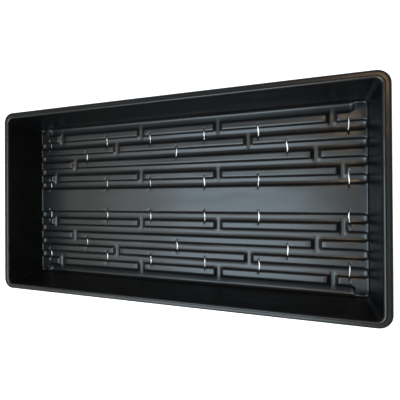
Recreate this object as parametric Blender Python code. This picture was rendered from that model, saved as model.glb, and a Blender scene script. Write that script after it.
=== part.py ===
"""Open growing tray of the standard 1020 size: one thermoformed black plastic sheet.

The floor has ten channels pressed down into it, so that ridges stand on the underside,
short cross channels that join neighbouring channels, and drain slits cut across the ridges.
Metres, +Z up, +X along the tray. The origin is on the resting plane, under the middle.
"""
import bmesh
import bpy

# ---- Driving dimensions -------------------------------------------------------------------
TRAY_LENGTH = 0.546         # over the rim, along X
TRAY_WIDTH = 0.2795         # over the rim, along Y
TRAY_HEIGHT = 0.0665        # underside of the ridges to the top of the rim
SHEET = 0.001               # thickness of the formed sheet
RIM_CORNER_RADIUS = 0.0155

FLOOR_LENGTH = 0.5180       # inside, at the foot of the walls
FLOOR_WIDTH = 0.2500
MOUTH_LENGTH = 0.5270       # inside, at the rim
MOUTH_WIDTH = 0.2625
WALL_CORNER_RADIUS = 0.0075

SKIRT_DROP = 0.0070         # the rim's turned-down edge, from the top of the rim
SKIRT_FLARE = 0.0006        # how far the skirt leans out from top to bottom

CHANNEL_DEPTH = 0.0030      # channels, below the floor
CHANNEL_WIDTH = 0.0132      # at floor level
CHANNEL_BOTTOM_WIDTH = 0.0094
CHANNEL_PITCH = 0.0230
FIRST_CHANNEL_Y = 0.0255    # centre line of the channel next to the middle band
CHANNELS_PER_SIDE = 5
CHANNEL_LENGTH = 0.5170
WALL_CHANNEL_LENGTH = 0.4890
WALL_CHANNEL_GAP = 0.0005   # floor left between the outermost channel and the long wall
CHANNEL_END_RADIUS = 0.0040

CROSS_DEPTH = 0.0027        # cross channels are a little shallower
CROSS_WIDTH = 0.0126
CROSS_BOTTOM_WIDTH = 0.0040
CROSS_REACH = 0.0142        # length along Y, into the channels on both sides

# X places of the cross channels, on the bands counted from the middle band outwards
CROSS_PLACES = {
    1: (-0.2295, -0.0630, 0.0630, 0.2295),
    2: (-0.1895, 0.1975),
    3: (-0.1075, 0.1075),
    4: (-0.2170, -0.0630, 0.0630, 0.2170),
}

SLIT_WIDTH = 0.0015
SLIT_LENGTH = 0.0230        # along Y, across a ridge and a little onto the floor beside it
SLIT_PLACES_WIDE = (-0.1635, 0.0, 0.1635)
SLIT_PLACES_CLOSE = (-0.2400, -0.1240, -0.0445, 0.0445, 0.1240, 0.2400)
# Channels counted from the middle outwards, with the slits that cross each of them
SLITS_ON_CHANNEL = {0: SLIT_PLACES_CLOSE, 2: SLIT_PLACES_WIDE, 3: SLIT_PLACES_CLOSE}

CORNER_SEGMENTS = 6
CHANNEL_CORNER_SEGMENTS = 4
CUT_MARGIN = 0.002          # how far a cutter stands past the face that it opens
CHANNEL_OVERCUT = 0.0003    # the same for the channels, which must not reach the walls

# ---- Heights worked out from the dimensions above -------------------------------------------
FLOOR_UNDERSIDE = CHANNEL_DEPTH
FLOOR_TOP = CHANNEL_DEPTH + SHEET
RIDGE_ROOT = FLOOR_UNDERSIDE + SHEET / 2       # ridges end inside the floor's sheet

COLLECTION_NAME = "growing_tray"
CUTTERS_NAME = "growing_tray_cutters"
TRAY_COLOUR = (0.012, 0.012, 0.013, 1.0)
TRAY_ROUGHNESS = 0.32


def clear_scene():
    for old in list(bpy.data.objects):
        bpy.data.objects.remove(old, do_unlink=True)


def new_collection(name):
    collection = bpy.data.collections.new(name)
    bpy.context.scene.collection.children.link(collection)
    return collection


def add_block(mesh, lower, upper, radius, centre, segments):
    """Add a block whose walls lean. lower and upper are (length, width, height of that face)."""
    corners = bmesh.ops.create_cube(mesh, size=2.0)["verts"]
    for vert in corners:
        length, width, z = upper if vert.co.z > 0 else lower
        vert.co = (centre[0] + vert.co.x * length / 2, centre[1] + vert.co.y * width / 2, z)
    if radius:
        upright = {edge for vert in corners for edge in vert.link_edges
                   if edge.verts[0].co.z != edge.verts[1].co.z}
        bmesh.ops.bevel(mesh, geom=list(upright), offset=radius, segments=segments,
                        profile=0.5, affect="EDGES")


def blocks_object(name, collection, blocks, segments):
    """One object of one or more separate drafted blocks: (lower, upper, radius, centre) each."""
    mesh = bmesh.new()
    for lower, upper, radius, centre in blocks:
        add_block(mesh, lower, upper, radius, centre, segments)
    data = bpy.data.meshes.new(name)
    mesh.to_mesh(data)
    mesh.free()
    made = bpy.data.objects.new(name, data)
    collection.objects.link(made)
    return made


def hide_guide(guide):
    guide.hide_render = True
    guide.display_type = "WIRE"


def boolean(target, operation, guide):
    """Join the target with a guide, or cut it with one."""
    hide_guide(guide)
    step = target.modifiers.new(f"{operation.lower()}_{guide.name}", "BOOLEAN")
    step.operation = operation
    step.solver = "EXACT"
    step.object = guide


def black_plastic():
    material = bpy.data.materials.new("black_plastic")
    material.use_nodes = True
    shader = material.node_tree.nodes["Principled BSDF"]
    shader.inputs["Base Color"].default_value = TRAY_COLOUR
    shader.inputs["Roughness"].default_value = TRAY_ROUGHNESS
    shader.inputs["Metallic"].default_value = 0.0
    return material


def width_at(bottom_width, top_width, bottom_z, top_z, z):
    """Width of a drafted channel at height z."""
    share = (z - bottom_z) / (top_z - bottom_z)
    return bottom_width + (top_width - bottom_width) * share


def channel_layout():
    """Centre line and length of each channel on the +Y side, from the middle outwards."""
    layout = [(FIRST_CHANNEL_Y + step * CHANNEL_PITCH, CHANNEL_LENGTH)
              for step in range(CHANNELS_PER_SIDE - 1)]
    wall_channel_y = FLOOR_WIDTH / 2 - WALL_CHANNEL_GAP - CHANNEL_WIDTH / 2
    layout.append((wall_channel_y, WALL_CHANNEL_LENGTH))
    return layout


def cross_layout():
    """Centre of each cross channel on the +Y side."""
    lines = [y for y, _ in channel_layout()]
    return [(x, (lines[band - 1] + lines[band]) / 2)
            for band, places in CROSS_PLACES.items() for x in places]


def slit_layout():
    lines = [y for y, _ in channel_layout()]
    return [(x, lines[channel]) for channel, places in SLITS_ON_CHANNEL.items() for x in places]


def hollow_and_ridge(centre, sizes, depth, radius):
    """The hollow of one channel, and the ridge that its sheet makes on the underside."""
    (length, width), (bottom_length, bottom_width) = sizes
    bottom = FLOOR_TOP - depth
    over = FLOOR_TOP + CHANNEL_OVERCUT
    over_length = width_at(bottom_length, length, bottom, FLOOR_TOP, over)
    over_width = width_at(bottom_width, width, bottom, FLOOR_TOP, over)
    hollow = ((bottom_length, bottom_width, bottom), (over_length, over_width, over),
              radius, centre)
    skin = 2 * SHEET
    root_length = width_at(bottom_length, length, bottom, FLOOR_TOP, RIDGE_ROOT + SHEET) + skin
    root_width = width_at(bottom_width, width, bottom, FLOOR_TOP, RIDGE_ROOT + SHEET) + skin
    ridge = ((bottom_length + skin, bottom_width + skin, bottom - SHEET),
             (root_length, root_width, RIDGE_ROOT), radius + SHEET if radius else 0.0, centre)
    return hollow, ridge


def long_channels():
    """Hollows and ridges of the channels that run along the tray."""
    taper = CHANNEL_WIDTH - CHANNEL_BOTTOM_WIDTH
    return [hollow_and_ridge((0.0, side * y),
                             ((length, CHANNEL_WIDTH), (length - taper, CHANNEL_BOTTOM_WIDTH)),
                             CHANNEL_DEPTH, CHANNEL_END_RADIUS)
            for side in (1, -1) for y, length in channel_layout()]


def cross_channels():
    """Hollows and ridges of the short channels that join neighbouring long ones."""
    sizes = ((CROSS_WIDTH, CROSS_REACH), (CROSS_BOTTOM_WIDTH, CROSS_REACH))
    return [hollow_and_ridge((x, side * y), sizes, CROSS_DEPTH, 0.0)
            for side in (1, -1) for x, y in cross_layout()]


def drain_slits():
    lower = (SLIT_WIDTH, SLIT_LENGTH, -CUT_MARGIN)
    upper = (SLIT_WIDTH, SLIT_LENGTH, FLOOR_TOP + CUT_MARGIN)
    return [(lower, upper, 0.0, (x, side * y)) for side in (1, -1) for x, y in slit_layout()]


def rim_and_walls(parts, cutters):
    """The rim with its turned-down skirt, the pan below it, and the inside to cut out."""
    skin = 2 * SHEET
    middle = (0.0, 0.0)
    rim_top_length = TRAY_LENGTH - 2 * SKIRT_FLARE
    rim_top_width = TRAY_WIDTH - 2 * SKIRT_FLARE
    skirt_z = TRAY_HEIGHT - SKIRT_DROP
    rim = ((TRAY_LENGTH, TRAY_WIDTH, skirt_z), (rim_top_length, rim_top_width, TRAY_HEIGHT),
           RIM_CORNER_RADIUS, middle)
    under_rim = ((TRAY_LENGTH - skin, TRAY_WIDTH - skin, skirt_z - CUT_MARGIN),
                 (rim_top_length - skin, rim_top_width - skin, TRAY_HEIGHT - SHEET),
                 RIM_CORNER_RADIUS - SHEET, middle)
    pan = ((FLOOR_LENGTH + skin, FLOOR_WIDTH + skin, FLOOR_UNDERSIDE),
           (MOUTH_LENGTH + skin, MOUTH_WIDTH + skin, TRAY_HEIGHT - SHEET / 2),
           WALL_CORNER_RADIUS + SHEET, middle)
    above = TRAY_HEIGHT + CUT_MARGIN
    above_length = width_at(FLOOR_LENGTH, MOUTH_LENGTH, FLOOR_TOP, TRAY_HEIGHT, above)
    above_width = width_at(FLOOR_WIDTH, MOUTH_WIDTH, FLOOR_TOP, TRAY_HEIGHT, above)
    inside = ((FLOOR_LENGTH, FLOOR_WIDTH, FLOOR_TOP), (above_length, above_width, above),
              WALL_CORNER_RADIUS, middle)
    tray = blocks_object("growing_tray", parts, [rim], CORNER_SEGMENTS)
    guides = [blocks_object(name, cutters, [block], CORNER_SEGMENTS)
              for name, block in (("under_rim", under_rim), ("pan", pan), ("inside", inside))]
    return tray, *guides


def build_tray(parts, cutters):
    """Rim and walls first, then the ridges below the floor, then everything that is hollow."""
    tray, under_rim, pan, inside = rim_and_walls(parts, cutters)
    hollows, ridges = zip(*long_channels())
    cross_hollows, cross_ridges = zip(*cross_channels())

    def floor_guide(name, blocks):
        return blocks_object(name, cutters, blocks, CHANNEL_CORNER_SEGMENTS)

    boolean(tray, "DIFFERENCE", under_rim)
    boolean(tray, "UNION", pan)
    boolean(tray, "UNION", floor_guide("ridges", ridges))
    boolean(tray, "UNION", floor_guide("cross_ridges", cross_ridges))
    boolean(tray, "DIFFERENCE", inside)
    boolean(tray, "DIFFERENCE", floor_guide("channels", hollows))
    boolean(tray, "DIFFERENCE", floor_guide("cross_channels", cross_hollows))
    boolean(tray, "DIFFERENCE", floor_guide("drain_slits", drain_slits()))
    tray.data.materials.append(black_plastic())


def main():
    clear_scene()
    parts = new_collection(COLLECTION_NAME)
    cutters = new_collection(CUTTERS_NAME)
    build_tray(parts, cutters)


main()
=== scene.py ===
"""Looks of the growing tray: a fine mesh of the formed sheet, its plastic, the set and the camera."""
import math

import bpy
import numpy as np
from mathutils import Euler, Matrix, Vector


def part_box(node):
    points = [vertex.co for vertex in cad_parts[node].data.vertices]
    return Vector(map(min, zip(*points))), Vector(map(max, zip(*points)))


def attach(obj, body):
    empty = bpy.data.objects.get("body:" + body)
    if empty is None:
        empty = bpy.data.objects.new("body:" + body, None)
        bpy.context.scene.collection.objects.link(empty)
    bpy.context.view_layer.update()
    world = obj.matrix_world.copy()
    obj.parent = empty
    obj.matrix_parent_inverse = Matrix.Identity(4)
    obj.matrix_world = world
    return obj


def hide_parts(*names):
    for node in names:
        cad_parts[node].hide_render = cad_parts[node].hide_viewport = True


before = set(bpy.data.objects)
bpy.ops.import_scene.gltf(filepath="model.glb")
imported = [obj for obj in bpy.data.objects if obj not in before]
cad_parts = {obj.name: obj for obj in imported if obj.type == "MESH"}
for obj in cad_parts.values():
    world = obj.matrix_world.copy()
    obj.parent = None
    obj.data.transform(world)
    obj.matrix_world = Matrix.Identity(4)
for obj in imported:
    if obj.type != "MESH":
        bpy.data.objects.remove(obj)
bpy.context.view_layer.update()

MM = 0.001
RANDOM = np.random.default_rng(17)

# ---- Tray, in millimetres ------------------------------------------------------------------
# The outline comes from the frame; what the frame's box doesn't tell repeats the design.
LOW, HIGH = (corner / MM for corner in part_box("growing_tray"))
RIM_HALF_X, RIM_HALF_Y, RIM_Z = HIGH.x, HIGH.y, HIGH.z
RIM_CORNER_RADIUS = 15.5
SHEET = 0.95
LEAST_SHEET = 0.35              # at the bottom of the deepest channels
FLOOR_Z = 4.0
LOWEST_Z = 0.05                 # no point of the underside lies lower
FLOOR_HALF_X, FLOOR_HALF_Y = 259.2, 125.0
MOUTH_HALF_X, MOUTH_HALF_Y = 263.2, 130.7
FLOOR_SHIFT = np.array((1.7, 0.0))      # how far each lies off the rim's centre
MOUTH_SHIFT = np.array((-0.4, -0.9))
FLOOR_CORNER_RADIUS = 5.0
MOUTH_CORNER_RADIUS = 7.5
FOOT_RADIUS = 1.8               # fillet between the floor's pads and the walls
FOOT_GROWTH = 0.55              # how much wider it is for each millimetre that the foot is lower

CHANNEL_DEPTH = 3.0
CHANNEL_HALF_WIDTH = 5.65
CHANNEL_PITCH = 23.0
FIRST_CHANNEL_Y = 25.5
CHANNEL_HALF_LENGTH = 258.5
CHANNEL_END_RADIUS = 5.6
CHANNEL_SLOPE = 3.4             # width of a channel's side, seen from above
CHANNEL_SHARPNESS = 2.2         # 1 is a straight side; more is a rounder foot
WALL_CHANNEL_INNER_Y = 112.5
WALL_CHANNEL_HALF_LENGTH = 243.2
WALL_CHANNEL_REACH = 40.0       # half its width, well past the wall, so that its outer side is cut off
EDGE_SHARE = 0.4                # part of a channel's side that lies outside its nominal edge
UNDERSIDE_GROWTH = 0.5          # how much wider a channel is on the underside

CROSS_DEPTH = 3.6               # of the cross channels, and along the middle of the long ones
CROSS_HALF_WIDTH = 5.3
CROSS_SLOPE = 5.2
CROSS_SHARPNESS = 1.15
CROSS_CORNER_RADIUS = 0.5
CROSS_BLEND = 0.5               # rounding where a cross channel meets a long one
CROSS_PLACES = {
    1: (-229.6, -63.0, 63.0, 229.6),
    2: (-189.5, 197.4),
    3: (-107.5, 107.5),
    4: (-217.0, -63.0, 63.0, 217.0),
}
DROOP_START_Y, DROOP_END_Y = 117.0, 124.0
DROOP = 1.2                     # how far the corner pads sink towards the long walls
FAR = 1e3                       # a distance beyond every channel

SLIT_HALF_LENGTH = 11.5
SLIT_HALF_GAP = 0.5
SLIT_SHOULDER = 1.5
SLIT_CREASE = 1.3               # depth of the closed ends of a slit
SLITS_WIDE = (-166.2, -2.7, 160.6)     # the cut is off the pattern's centre
SLITS_CLOSE = (-241.9, -126.6, -47.2, 41.8, 121.6, 237.3)
SLITS_ON_CHANNEL = {0: SLITS_CLOSE, 2: SLITS_WIDE, 3: SLITS_CLOSE}

SLIT_GAPE = (0.35, 0.80)        # least and most half gap added where a slit is open
SHUT_HALF_GAP = 0.18
OPEN_MIDDLE = (0.0, 0.2)        # places and lengths along a slit are shares of half its length
OPEN_REACH = 0.62
PINCH_MIDDLE = (-0.3, 0.3)
PINCH_REACH = 0.12
PINCH_STRENGTHS = (0.0, 0.9)    # a slit is either pinched in the middle or not
SLIT_SWAY = (0.2, 0.6)
SLIT_BENDS = 3.6
SWAY_FADE, CREASE_FADE = 4, 6   # how steeply each fades out at a slit's ends
SHUT_FADE = 3                   # how steeply the crease fades where the slit opens
LEAST_OPENING = 0.02            # a cell is opened where its two ends add up to more

ROLL_RADIUS = 2.4               # inner roll of the rim
LIP_RADIUS = 2.3                # outer roll, above the skirt
RIM_STEP = 0.45                 # the flat of the rim lies this much below the roll
STEP_START = 0.3                # from the middle of the inner roll out to the step
STEP_CURVE = ((0.35, 0.12), (0.75, 0.35), (1.15, RIM_STEP))     # out and down, along the step
FLAT_END = 1.2                  # the flat stops this far before the lip
LIP_DROP = 0.08                 # and the lip starts this much lower
SKIRT_DROP = 7.0
SKIRT_FLARE = 0.2

# Steps of the mesh
SIDE_LINES = (-1.36, -0.55, 0.3, 1.15, 2.04)    # inwards from a long channel's nominal edge
CROSS_LINES = (1.2, 2.2, 3.6, 6.6, 7.4)         # either way from the middle of a cross channel
END_LINES = (-5.0, -3.4, -2.0, -1.0, 0.0, 1.0)  # outwards from the end of the wall channel
COARSE_X, COARSE_Y = 9.0, 3.0
LEAST_GAP = 0.28                # grid lines are never closer than this
BORDER_GAP = 0.3                # nor this close to the grid's border
GRID_TOLERANCE = 0.1            # for finding the line that ends a slit
CORNER_STEPS = 12
FLOOR_RINGS = 4
FILLET_STEPS = 5
ROLL_STEPS = 5
WALL_SHARES = (0.08, 0.3, 0.6, 0.9)
SHARP_ANGLE = 75.0


# ---- Shape of the floor ----------------------------------------------------------------------
def channel_lines():
    """Centre lines of the four free channels on the +Y side."""
    return [FIRST_CHANNEL_Y + step * CHANNEL_PITCH for step in range(4)]


def cross_centres():
    """Centres of the cross channels on the +Y side; the last band ends at the wall channel."""
    edges = channel_lines() + [WALL_CHANNEL_INNER_Y + CHANNEL_HALF_WIDTH]
    return [(x, (edges[band - 1] + edges[band]) / 2)
            for band, places in CROSS_PLACES.items() for x in places]


def box_distance(x, y, half_x, half_y, radius):
    """Signed distance to a rounded rectangle round the origin, negative inside."""
    past_x = np.abs(x) - (half_x - radius)
    past_y = np.abs(y) - (half_y - radius)
    outside = np.hypot(np.maximum(past_x, 0), np.maximum(past_y, 0))
    return outside + np.minimum(np.maximum(past_x, past_y), 0) - radius


def to_long_channels(x, y):
    """Distance to the nearest long channel, the one along the wall among them."""
    nearest = box_distance(x, y - WALL_CHANNEL_INNER_Y - WALL_CHANNEL_REACH,
                           WALL_CHANNEL_HALF_LENGTH, WALL_CHANNEL_REACH, CHANNEL_END_RADIUS)
    for line in channel_lines():
        nearest = np.minimum(nearest, box_distance(
            x, y - line, CHANNEL_HALF_LENGTH, CHANNEL_HALF_WIDTH, CHANNEL_END_RADIUS))
    return nearest


def to_cross_channels(x, y):
    nearest = np.full_like(x, FAR)
    for middle_x, middle_y in cross_centres():
        nearest = np.minimum(nearest, box_distance(
            x - middle_x, y - middle_y, CROSS_HALF_WIDTH, CHANNEL_PITCH / 2, CROSS_CORNER_RADIUS))
    return nearest


def smooth_step(share):
    share = np.clip(share, 0, 1)
    return share * share * (3 - 2 * share)


def side_step(distance, slope, sharpness):
    """1 inside a channel and 0 outside: crisp at its upper edge, round at its foot."""
    share = np.clip(EDGE_SHARE - distance / slope, 0, 1)
    return 1 - (1 - share) ** sharpness


def smooth_min(a, b, blend):
    share = np.clip(0.5 + 0.5 * (b - a) / blend, 0, 1)
    return b + (a - b) * share - blend * share * (1 - share)


def floor_height(x, y, grow=0.0):
    """Height of the floor's upper face; grow widens every channel, for the underside."""
    y = np.abs(y)
    to_long = to_long_channels(x, y)
    level_edges = EDGE_SHARE * (CROSS_SLOPE - CHANNEL_SLOPE)    # both kinds end at one upper edge
    to_any = smooth_min(to_long + level_edges, to_cross_channels(x, y), CROSS_BLEND)
    long_depth = CHANNEL_DEPTH * side_step(to_long - grow, CHANNEL_SLOPE, CHANNEL_SHARPNESS)
    cross_depth = CROSS_DEPTH * side_step(to_any - grow, CROSS_SLOPE, CROSS_SHARPNESS)
    droop = DROOP * smooth_step((y - DROOP_START_Y) / (DROOP_END_Y - DROOP_START_Y))
    return FLOOR_Z - np.maximum(np.maximum(long_depth, cross_depth), droop)


# ---- Grid lines ------------------------------------------------------------------------------
def merge_lines(wanted, coarse_step, limit):
    """The wanted lines, with coarse ones filling the gaps between them, out to the limit."""
    inside = {round(value, 3) for value in wanted if abs(value) < limit - BORDER_GAP}
    wanted = sorted(inside | {-limit, limit})
    lines = [wanted[0]]
    for value in wanted[1:]:
        gap = value - lines[-1]
        if gap < LEAST_GAP:
            continue
        steps = max(1, math.ceil(gap / coarse_step))
        lines += [lines[-1] + gap * step / steps for step in range(1, steps)]
        lines.append(value)
    return np.array(lines)


def mirrored(values):
    return [sign * value for sign in (-1, 1) for value in values]


def grid_lines():
    """X and Y lines of the floor's grid: dense at channel sides, slits and channel ends."""
    y_lines = [WALL_CHANNEL_INNER_Y + step for step in SIDE_LINES]
    for line in channel_lines():
        y_lines += [line + turn * (CHANNEL_HALF_WIDTH - step)
                    for turn in (-1, 1) for step in SIDE_LINES]
        y_lines += [line - SLIT_HALF_LENGTH, line + SLIT_HALF_LENGTH]
    x_lines = [x + step for places in CROSS_PLACES.values() for x in places
               for step in mirrored(CROSS_LINES)]
    x_lines += [x + step for x in SLITS_WIDE + SLITS_CLOSE
                for step in mirrored((SLIT_HALF_GAP, SLIT_SHOULDER))]
    x_lines += mirrored([WALL_CHANNEL_HALF_LENGTH + step for step in END_LINES])
    return (merge_lines(x_lines, COARSE_X, FLOOR_HALF_X - FLOOR_CORNER_RADIUS),
            merge_lines(mirrored(y_lines), COARSE_Y, FLOOR_HALF_Y - FLOOR_CORNER_RADIUS))


# ---- Slits -------------------------------------------------------------------------------------
def slit_outline(reach):
    """How open a slit is, its half gap and its bend, at each share of half its length."""
    gape = RANDOM.uniform(*SLIT_GAPE)
    middle = RANDOM.uniform(*OPEN_MIDDLE)
    lens = np.clip(1 - np.abs((reach - middle) / OPEN_REACH) ** 3, 0, 1)
    pinch = np.exp(-((reach - RANDOM.uniform(*PINCH_MIDDLE)) / PINCH_REACH) ** 2)
    lens *= 1 - RANDOM.choice(PINCH_STRENGTHS) * pinch
    sway = RANDOM.uniform(*SLIT_SWAY) * np.sin(SLIT_BENDS * reach + RANDOM.uniform(0, 6.28))
    sway *= np.clip(SWAY_FADE * (1 - np.abs(reach)), 0, 1)
    return lens, SHUT_HALF_GAP + gape * lens, sway


def cut_slit(place, xs, along, grid_x, crease):
    """Bends the grid lines beside one slit, and returns the cells that it opens."""
    left = int(np.argmin(np.abs(xs - (place - SLIT_HALF_GAP))))
    rows = np.where(np.abs(along) < SLIT_HALF_LENGTH + GRID_TOLERANCE)[0]
    reach = along[rows] / SLIT_HALF_LENGTH
    lens, half_gap, sway = slit_outline(reach)
    edges = (-SLIT_SHOULDER, -half_gap, half_gap, SLIT_SHOULDER)
    for column, edge in enumerate(edges, left - 1):
        grid_x[rows, column] = place + sway + edge
    shut = np.clip(1 - SHUT_FADE * lens, 0, 1)
    shut *= np.clip(CREASE_FADE * (1 - np.abs(reach)), 0, 1)
    crease[rows, left] = SLIT_CREASE * shut
    crease[rows, left + 1] = SLIT_CREASE * shut
    return {(int(row), left) for row, here, after in zip(rows, lens, lens[1:])
            if here + after > LEAST_OPENING}


def cut_slits(xs, ys, grid_x, crease):
    """Cuts every slit. One gapes in its middle; its ends are shut, and only show as a crease."""
    gaps = set()
    for number, places in SLITS_ON_CHANNEL.items():
        for line in mirrored([channel_lines()[number]]):
            for place in places:
                gaps |= cut_slit(place, xs, ys - line, grid_x, crease)
    return gaps


# ---- Rim section ---------------------------------------------------------------------------
def arc(middle, radius, start, end):
    """Points of an arc in the section; angles in degrees from straight out, up is negative."""
    turns = np.radians(np.linspace(start, end, ROLL_STEPS + 1))
    return [(middle[0] + radius * math.cos(turn), middle[1] + radius * math.sin(turn))
            for turn in turns]


def rim_section():
    """Points from the mouth outwards: share of the rim's width, depth below its top."""
    width = RIM_HALF_X - MOUTH_HALF_X
    lip_start = width - SKIRT_FLARE - LIP_RADIUS
    points = arc((ROLL_RADIUS, ROLL_RADIUS), ROLL_RADIUS, 180, 270)
    points += [(ROLL_RADIUS + STEP_START + out, down) for out, down in STEP_CURVE]
    points += [(lip_start - FLAT_END, RIM_STEP)]
    points += arc((lip_start, RIM_STEP + LIP_DROP + LIP_RADIUS), LIP_RADIUS, -90, 0)
    points += [(width, SKIRT_DROP)]
    return [(across / width, drop) for across, drop in points]


# ---- Surface -----------------------------------------------------------------------------------
def between(first, second, share):
    return first + share * (second - first)


def open_edges(faces):
    """Edges, as (start, end), that no face has the other way round."""
    edges = dict.fromkeys(edge for face in faces for edge in zip(face, face[1:] + face[:1]))
    return [(start, end) for start, end in edges if (end, start) not in edges]


class Surface:
    """The sheet's upper face: a grid over the floor, then rings up the wall and over the rim."""

    def __init__(self):
        self.xs, self.ys = grid_lines()
        self.index = np.arange(len(self.xs) * len(self.ys)).reshape(len(self.ys), len(self.xs))
        grid_x, grid_y = np.meshgrid(self.xs, self.ys)
        crease = np.zeros_like(grid_x)
        self.gaps = cut_slits(self.xs, self.ys, grid_x, crease)
        grid_x, grid_y, crease = grid_x.ravel(), grid_y.ravel(), crease.ravel()
        upper_z = floor_height(grid_x, grid_y) - crease
        under_z = floor_height(grid_x, grid_y, UNDERSIDE_GROWTH) - SHEET - crease
        self.core = np.column_stack([grid_x, grid_y, np.maximum(upper_z, LOWEST_Z + LEAST_SHEET)])
        self.core_under = np.column_stack([grid_x, grid_y, np.maximum(under_z, LOWEST_Z)])
        self.lay_out_ring()
        self.core[:, :2] += FLOOR_SHIFT
        self.core_under[:, :2] += FLOOR_SHIFT
        floor_rings, foot, fillet = self.floor_rings()
        self.rings = np.array(floor_rings + self.fillet_rings(foot, fillet)
                              + self.wall_rings(foot + fillet) + self.rim_rings())

    def lay_out_ring(self):
        """Start point on the grid's border and outward direction of each point of a ring."""
        sides = (self.index[:, -1], self.index[-1, ::-1], self.index[::-1, 0], self.index[0, :])
        starts, angles = [], []
        for quarter, side in enumerate(sides):
            square = quarter * math.pi / 2
            starts += list(side)
            angles += [square] * len(side)
            turns = [square + step / CORNER_STEPS * math.pi / 2 for step in range(1, CORNER_STEPS)]
            starts += [side[-1]] * len(turns)
            angles += turns
        self.starts = np.array(starts)
        self.one = np.ones(len(starts))
        self.outward = np.column_stack([np.cos(angles), np.sin(angles)])
        self.base = self.core[self.starts, :2] / (self.xs[-1], self.ys[-1])

    def ring(self, half_x, half_y, radius, inset, z, shift):
        """A closed loop: a rounded rectangle, pulled in by inset, at height z, moved by shift."""
        reach = np.column_stack([(half_x - radius) * self.one, (half_y - radius) * self.one])
        flat = self.base * reach + self.outward * ((radius - inset) * self.one)[:, None]
        return np.column_stack([flat + shift, z * self.one])

    def wall_ring(self, inset, z):
        """A loop on the wall at height z, or inwards from it by inset."""
        share = (z - FLOOR_Z) / (RIM_Z - FLOOR_Z) * self.one
        return self.ring(between(FLOOR_HALF_X, MOUTH_HALF_X, share),
                         between(FLOOR_HALF_Y, MOUTH_HALF_Y, share),
                         between(FLOOR_CORNER_RADIUS, MOUTH_CORNER_RADIUS, share),
                         inset, z, between(FLOOR_SHIFT, MOUTH_SHIFT, share[:, None]))

    def floor_below(self, ring):
        return floor_height(ring[:, 0] - FLOOR_SHIFT[0], ring[:, 1])

    def floor_rings(self):
        """Loops from the grid to the fillet, the floor's height there and the fillet's radius."""
        sunk = FLOOR_Z - self.floor_below(self.wall_ring(FOOT_RADIUS, FLOOR_Z))
        fillet = FOOT_RADIUS + FOOT_GROWTH * sunk
        rings = []
        for step in range(1, FLOOR_RINGS + 1):
            inset = FLOOR_CORNER_RADIUS + (fillet - FLOOR_CORNER_RADIUS) * step / FLOOR_RINGS
            foot = self.floor_below(self.wall_ring(inset, FLOOR_Z))
            rings.append(self.wall_ring(inset, foot))
        return rings, foot, fillet

    def fillet_rings(self, foot, fillet):
        angles = [step / FILLET_STEPS * math.pi / 2 for step in range(1, FILLET_STEPS + 1)]
        return [self.wall_ring(fillet * (1 - math.sin(angle)), foot + fillet * (1 - math.cos(angle)))
                for angle in angles]

    def wall_rings(self, wall_foot):
        wall_top = RIM_Z - rim_section()[0][1]
        return [self.wall_ring(0.0, wall_foot * (1 - share) + wall_top * share)
                for share in WALL_SHARES]

    def rim_rings(self):
        return [self.ring(between(MOUTH_HALF_X, RIM_HALF_X, share),
                          between(MOUTH_HALF_Y, RIM_HALF_Y, share),
                          between(MOUTH_CORNER_RADIUS, RIM_CORNER_RADIUS, share),
                          0.0, RIM_Z - drop, (1 - share) * MOUTH_SHIFT)
                for share, drop in rim_section()]

    def rings_under(self):
        """The rings moved to the sheet's other face, square to the section."""
        run = np.gradient(self.rings, axis=0)
        run_out = np.einsum("kij,ij->ki", run[:, :, :2], self.outward)
        rise = run[:, :, 2]
        length = np.hypot(run_out, rise)
        under = self.rings.copy()
        under[:, :, :2] += SHEET * (rise / length)[:, :, None] * self.outward
        under[:, :, 2] -= SHEET * run_out / length
        under[:, :, 2] = np.maximum(under[:, :, 2], LOWEST_Z)
        return under

    def core_faces(self):
        index = self.index
        rows, columns = index.shape
        return [(index[row, column], index[row, column + 1],
                 index[row + 1, column + 1], index[row + 1, column])
                for row in range(rows - 1) for column in range(columns - 1)
                if (row, column) not in self.gaps]

    def ring_faces(self):
        """Faces between each ring and the next; a corner's rings fan out from one grid point."""
        count = len(self.starts)
        faces = []
        inner = list(self.starts)
        for number in range(len(self.rings)):
            first = len(self.core) + number * count
            outer = [first + step for step in range(count)]
            for here in range(count):
                after = (here + 1) % count
                corners = [inner[here], outer[here], outer[after]]
                if inner[here] != inner[after]:
                    corners.append(inner[after])
                faces.append(tuple(corners))
            inner = outer
        return faces

    def build(self, name):
        """A closed mesh of both faces of the sheet, joined along its open edges."""
        upper = np.vstack([self.core] + list(self.rings))
        under = np.vstack([self.core_under] + list(self.rings_under()))
        faces = self.core_faces() + self.ring_faces()
        total = len(upper)
        closed = faces + [tuple(total + corner for corner in reversed(face)) for face in faces]
        closed += [(end, start, total + start, total + end) for start, end in open_edges(faces)]
        mesh = bpy.data.meshes.new(name)
        points = np.vstack([upper, under]) * MM
        mesh.from_pydata(points.tolist(), [], [[int(corner) for corner in face] for face in closed])
        mesh.update()
        return mesh


# ---- Plastic, in metres ------------------------------------------------------------------------
DARK_BLACK, PALE_BLACK = (0.0030, 0.0030, 0.0033, 1), (0.0055, 0.0055, 0.0060, 1)
PLASTIC_IOR = 1.5
BASE_ROUGHNESS = 0.44
BASE_GLOSS, COAT_GLOSS = 0.28, 0.55     # specular level and coat weight, where the gloss is full
COAT_ROUGHNESS = (0.18, 0.25)
WALL_ROUGHER = 0.12                     # added to the coat's roughness on the walls
WALL_GLOSS, LIP_GLOSS = 0.6, 0.25       # shares of the gloss that the walls and the lip keep
WALL_STARTS, WALL_ENDS = (0.008, 0.016), (0.0640, 0.0656)   # heights at which the wall fades in, out
LIP_STARTS = (0.0138, 0.0146)           # distances from the middles of the rim's corners
WAVE_HEIGHT, DRAW_LINE_HEIGHT = 0.0012, 0.00002
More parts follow.
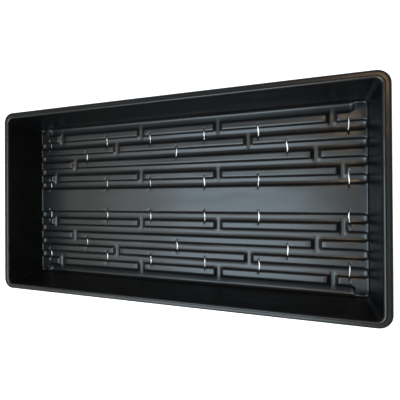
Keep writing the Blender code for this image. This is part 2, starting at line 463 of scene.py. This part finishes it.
# How many features of a noise lie in a metre, along each axis
BLOTCHES, STREAKS = (14.0, 40.0, 40.0), (6.0, 260.0, 260.0)
WAVES, DRAW_LINES = (9.0, 34.0, 34.0), (10.0, 700.0, 700.0)


def node(tree, kind, links=(), **values):
    """A new node: values go to its attributes or inputs, links join (socket, from) pairs."""
    made = tree.nodes.new(kind)
    for name, value in values.items():
        if hasattr(made, name):
            setattr(made, name, value)
        else:
            made.inputs[name.replace("_", " ")].default_value = value
    for socket, source in links:
        tree.links.new(source, made.inputs[socket])
    return made


def stretched_noise(tree, place, features, detail):
    """Noise in object space, with that many features in a metre along each axis."""
    scaled = node(tree, "ShaderNodeMapping", [("Vector", place)], Scale=features)
    return node(tree, "ShaderNodeTexNoise", [("Vector", scaled.outputs[0])], Scale=1.0,
                Detail=detail, Roughness=0.55).outputs["Fac"]


def to_range(tree, source, low, high, start=0.0, end=1.0):
    """Maps start to low and end to high in a straight line, and holds both beyond."""
    return node(tree, "ShaderNodeMapRange", [("Value", source)], From_Min=start, From_Max=end,
                To_Min=low, To_Max=high).outputs[0]


def noise_range(tree, source, low, high):
    """The same for a noise, whose values lie mostly in its middle part."""
    return to_range(tree, source, low, high, 0.3, 0.7)


def combine(tree, operation, first, second):
    return node(tree, "ShaderNodeMath", [(0, first), (1, second)], operation=operation).outputs[0]


def bump(tree, height, distance, below=None):
    links = [("Height", height)] + ([("Normal", below)] if below else [])
    return node(tree, "ShaderNodeBump", links, Strength=1.0, Distance=distance).outputs[0]


def vector_step(tree, operation, source):
    return node(tree, "ShaderNodeVectorMath", [(0, source)], operation=operation)


def from_rim_corner(tree, place):
    """Distance from the middle line of the rim's corner curves: the lip is where it is longest."""
    middle = (RIM_HALF_X - RIM_CORNER_RADIUS, RIM_HALF_Y - RIM_CORNER_RADIUS, RIM_Z)
    folded = vector_step(tree, "ABSOLUTE", place)
    moved = vector_step(tree, "SUBTRACT", folded.outputs[0])
    moved.inputs[1].default_value = Vector(middle) * MM
    outside = vector_step(tree, "MAXIMUM", moved.outputs[0])
    return vector_step(tree, "LENGTH", outside.outputs[0]).outputs["Value"]


def tint(tree, shader, place):
    """Nearly black, with slightly paler blotches, as from dust."""
    blotches = stretched_noise(tree, place, BLOTCHES, 3.0)
    colour = node(tree, "ShaderNodeMix", [("Factor", noise_range(tree, blotches, 0.0, 1.0))],
                  data_type="RGBA")
    colour.inputs["A"].default_value = DARK_BLACK
    colour.inputs["B"].default_value = PALE_BLACK
    tree.links.new(colour.outputs["Result"], shader.inputs["Base Color"])


def gloss(tree, shader, place):
    """A rough base under a streaky coat; both shine less on the walls and on the rim's lip."""
    height = node(tree, "ShaderNodeSeparateXYZ", [("Vector", place)]).outputs["Z"]
    wall = combine(tree, "MULTIPLY", to_range(tree, height, 0.0, 1.0, *WALL_STARTS),
                   to_range(tree, height, 1.0, 0.0, *WALL_ENDS))
    streaks = stretched_noise(tree, place, STREAKS, 4.0)
    roughness = combine(tree, "ADD", noise_range(tree, streaks, *COAT_ROUGHNESS),
                        to_range(tree, wall, 0.0, WALL_ROUGHER))
    tree.links.new(roughness, shader.inputs["Coat Roughness"])
    lip = to_range(tree, from_rim_corner(tree, place), 1.0, LIP_GLOSS, *LIP_STARTS)
    shine = combine(tree, "MULTIPLY", to_range(tree, wall, 1.0, WALL_GLOSS), lip)
    for socket, full in (("Specular IOR Level", BASE_GLOSS), ("Coat Weight", COAT_GLOSS)):
        tree.links.new(to_range(tree, shine, 0.0, full), shader.inputs[socket])


def relief(tree, shader, place):
    """Slow waves of the sheet, with fine draw lines along it."""
    waves = stretched_noise(tree, place, WAVES, 1.0)
    draw_lines = stretched_noise(tree, place, DRAW_LINES, 2.0)
    normal = bump(tree, draw_lines, DRAW_LINE_HEIGHT, bump(tree, waves, WAVE_HEIGHT))
    for socket in ("Normal", "Coat Normal"):
        tree.links.new(normal, shader.inputs[socket])


def black_plastic():
    """Vacuum-formed black sheet with a satin gloss."""
    material = bpy.data.materials.new("black_plastic")
    material.use_nodes = True
    tree = material.node_tree
    shader = tree.nodes["Principled BSDF"]
    shader.inputs["IOR"].default_value = PLASTIC_IOR
    shader.inputs["Coat IOR"].default_value = PLASTIC_IOR
    shader.inputs["Roughness"].default_value = BASE_ROUGHNESS
    place = node(tree, "ShaderNodeTexCoord").outputs["Object"]
    tint(tree, shader, place)
    gloss(tree, shader, place)
    relief(tree, shader, place)
    return material


def make_tray():
    mesh = Surface().build("tray_sheet")
    mesh.shade_smooth()
    mesh.set_sharp_from_angle(angle=math.radians(SHARP_ANGLE))
    piece = bpy.data.objects.new("tray_sheet", mesh)
    bpy.context.scene.collection.objects.link(piece)
    mesh.materials.append(black_plastic())
    weights = piece.modifiers.new("even_normals", "WEIGHTED_NORMAL")
    weights.keep_sharp = True
    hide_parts("growing_tray")
    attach(piece, "root")


# ---- Set, in metres ----------------------------------------------------------------------------
STUDIO_FLOOR_SIZE = 8.0
STUDIO_FLOOR_GAP = 0.0003       # below the tray's feet
STUDIO_FLOOR_COLOUR = (0.80, 0.80, 0.80, 1)
STUDIO_FLOOR_ROUGHNESS = 0.7
STUDIO_FLOOR_GLOW = 0.75

HORIZON_HEIGHT, OVERHEAD_HEIGHT = 0.10, 0.40    # of a direction's upward part
HORIZON_LIGHT, OVERHEAD_LIGHT = 0.85, 0.10

CREAM, NEUTRAL, COOL, WARM = (1.0, 0.97, 0.91), (0.95, 1.0, 1.0), (0.66, 1.0, 1.26), (1.0, 0.62, 0.30)
SOFT_BOXES = {                  # place, size, brightness against white, colour
    "wide_box": ((-0.82, -0.19, 1.62), (2.8, 1.64), 0.8, CREAM),
    "main_box": ((-0.40, -0.26, 1.56), (1.6, 1.22), 1.5, NEUTRAL),
    "core_box": ((-0.22, -0.26, 1.50), (0.9, 0.8), 3.9, COOL),
    "front_box": ((-0.50, -0.82, 1.50), (1.8, 0.40), 2.2, NEUTRAL),
    "warm_box": ((0.62, 0.65, 1.50), (0.20, 0.26), 11.0, WARM),
    "warm_spot": ((0.48, 0.52, 1.50), (0.08, 0.10), 32.0, WARM),
}

CAMERA_PLACE = (0.1798, 0.0026, 0.4401)
CAMERA_YAW, CAMERA_PITCH, CAMERA_ROLL = 18.062, 0.230, -0.343
LENS, SENSOR_WIDTH, LENS_SHIFT_Y = 27.824, 36.0, -0.00903


def make_floor():
    """A plain pale floor that glows a little, as a light table does."""
    bpy.ops.mesh.primitive_plane_add(size=STUDIO_FLOOR_SIZE,
                                     location=(0, 0, LOW.z * MM - STUDIO_FLOOR_GAP))
    floor = bpy.context.object
    floor.name = "studio_floor"
    material = bpy.data.materials.new("studio_floor")
    material.use_nodes = True
    shader = material.node_tree.nodes["Principled BSDF"]
    shader.inputs["Base Color"].default_value = STUDIO_FLOOR_COLOUR
    shader.inputs["Roughness"].default_value = STUDIO_FLOOR_ROUGHNESS
    shader.inputs["Emission Color"].default_value = (1, 1, 1, 1)
    shader.inputs["Emission Strength"].default_value = STUDIO_FLOOR_GLOW
    floor.data.materials.append(material)


def studio_world():
    """Pale at the horizon and dim overhead, so that the lamps do the lighting."""
    world = bpy.data.worlds.new("studio")
    world.use_nodes = True
    tree = world.node_tree
    direction = node(tree, "ShaderNodeTexCoord").outputs["Generated"]
    height = node(tree, "ShaderNodeSeparateXYZ", [("Vector", direction)]).outputs["Z"]
    shade = node(tree, "ShaderNodeMapRange", [("Value", height)], interpolation_type="SMOOTHSTEP",
                 From_Min=HORIZON_HEIGHT, From_Max=OVERHEAD_HEIGHT,
                 To_Min=HORIZON_LIGHT, To_Max=OVERHEAD_LIGHT)
    tree.links.new(shade.outputs[0], tree.nodes["Background"].inputs["Color"])
    bpy.context.scene.world = world


def soft_boxes():
    """Lamps that shine straight down: nested ones, so that they fade out, and two small warm ones."""
    for name, (place, size, brightness, colour) in SOFT_BOXES.items():
        lamp = bpy.data.lights.new(name, "AREA")
        lamp.shape = "RECTANGLE"
        lamp.size, lamp.size_y = size
        lamp.energy = brightness * math.pi * size[0] * size[1]
        lamp.color = colour
        holder = bpy.data.objects.new(name, lamp)
        holder.location = place
        bpy.context.scene.collection.objects.link(holder)


def make_camera():
    """Above the right half of the tray, turned a little to the left."""
    camera = bpy.data.cameras.new("camera")
    camera.sensor_width = SENSOR_WIDTH
    camera.lens = LENS
    camera.shift_y = LENS_SHIFT_Y
    holder = bpy.data.objects.new("camera", camera)
    holder.location = CAMERA_PLACE
    holder.rotation_mode = "ZXY"
    turns = [math.radians(angle) for angle in (CAMERA_PITCH, CAMERA_YAW, CAMERA_ROLL)]
    holder.rotation_euler = Euler(turns, "ZXY")
    bpy.context.scene.collection.objects.link(holder)
    bpy.context.scene.camera = holder


make_tray()
make_floor()
studio_world()
soft_boxes()
make_camera()
bpy.context.scene.view_settings.view_transform = "Standard"
